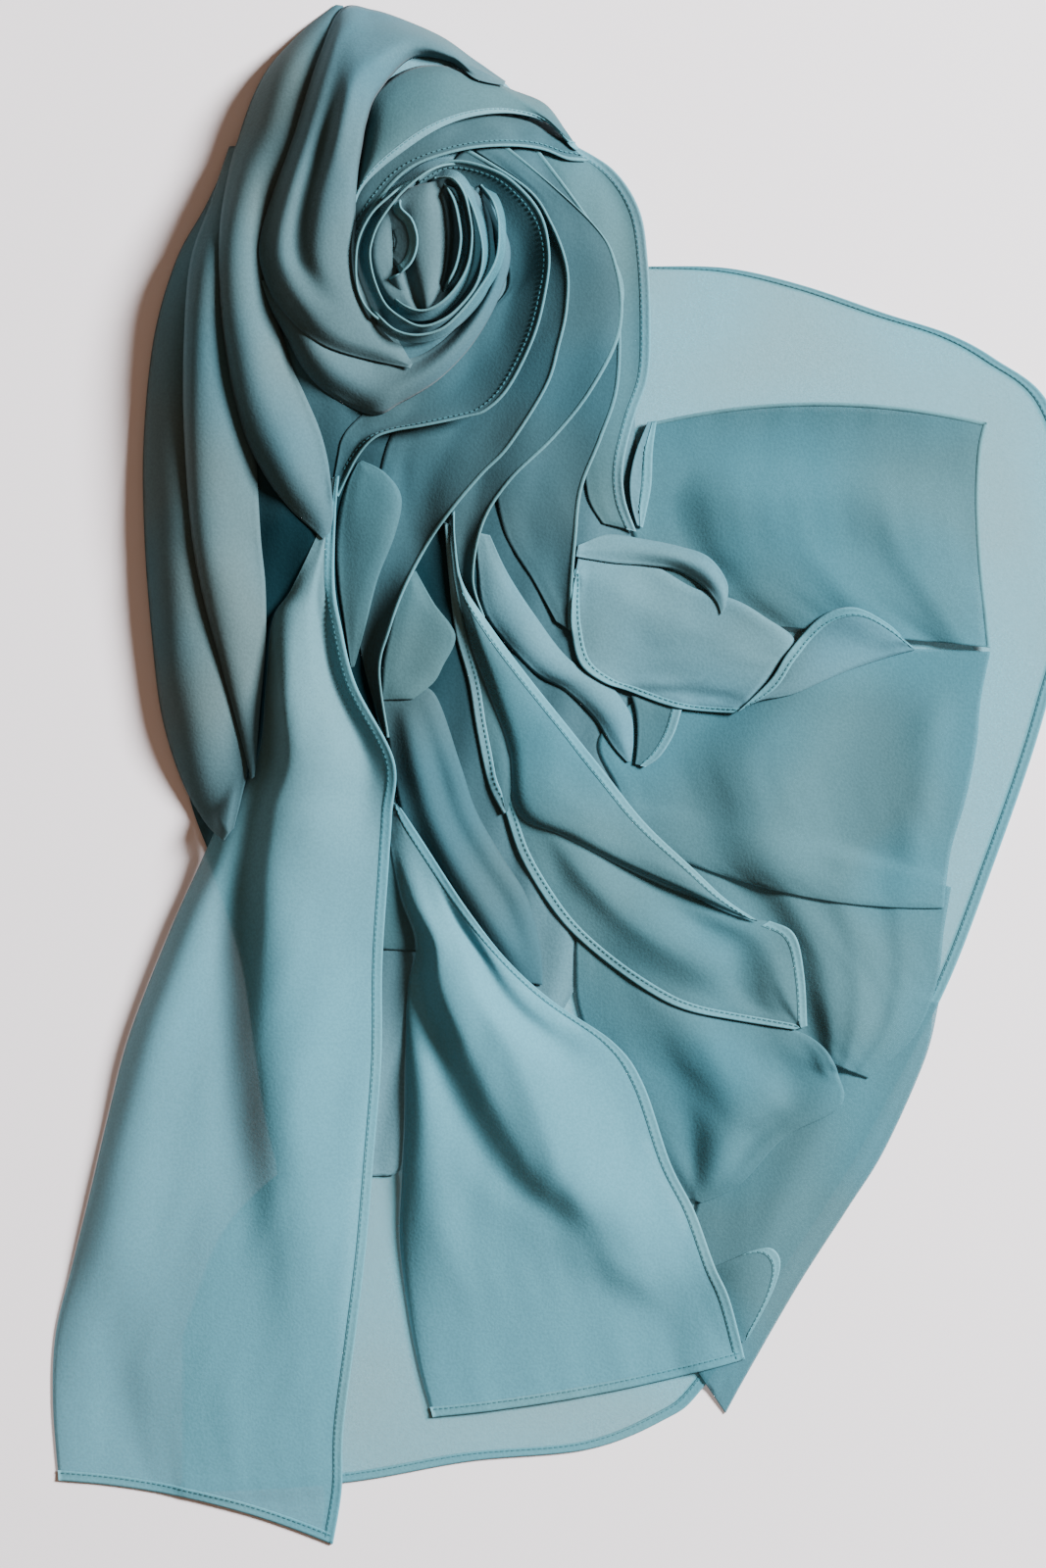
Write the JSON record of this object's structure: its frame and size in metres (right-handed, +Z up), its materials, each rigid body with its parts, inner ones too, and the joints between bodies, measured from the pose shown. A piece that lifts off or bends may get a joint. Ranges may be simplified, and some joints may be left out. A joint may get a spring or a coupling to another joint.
{
  "type": "scarf",
  "caption": "Sheer crepe-chiffon scarf laid flat, one end wound into a rose and the rest fanned into soft folds with two hemmed tails.",
  "frame": {"origin": "on the table, under the middle of the laid scarf's footprint", "axes": "+Z up off the table; +Y along the scarf's length, towards the rose; +X across it"},
  "size_m": [0.4182, 0.628, 0.0426],
  "materials": {
    "chiffon": "seafoam crepe chiffon, sheer, matt with a faint sheen, narrow machine-rolled hems"
  },
  "bodies": {
    "root": {"under_sheet": "chiffon", "hidden_layers": "chiffon", "outer_fold": "chiffon", "panel_under": "chiffon", "panel_right": "chiffon", "panel_flat": "chiffon", "small_loop": "chiffon", "fan_third": "chiffon", "pleat_e": "chiffon", "edge_turn": "chiffon", "loop_left": "chiffon", "loop_right": "chiffon", "pleat_d": "chiffon", "ruffle_pad": "chiffon", "ruffle_roll": "chiffon", "ruffle_leaf": "chiffon", "pleat_c": "chiffon", "fan_lower": "chiffon", "fan_turn": "chiffon", "fan_upper": "chiffon", "tail_inner": "chiffon", "gap_fold": "chiffon", "tail_two": "chiffon", "leaf_b": "chiffon", "pleat_b": "chiffon", "leaf_a": "chiffon", "pleat_a": "chiffon", "tail_one": "chiffon", "roll_outer": "chiffon", "roll_middle": "chiffon", "roll_inner": "chiffon", "back_band": "chiffon", "back_petal": "chiffon", "petal_lower": "chiffon", "petal_outer": "chiffon", "rose_ring": "chiffon", "heart_curl": "chiffon", "heart_petal": "chiffon", "heart_back": "chiffon"}
  },
  "joints": []
}
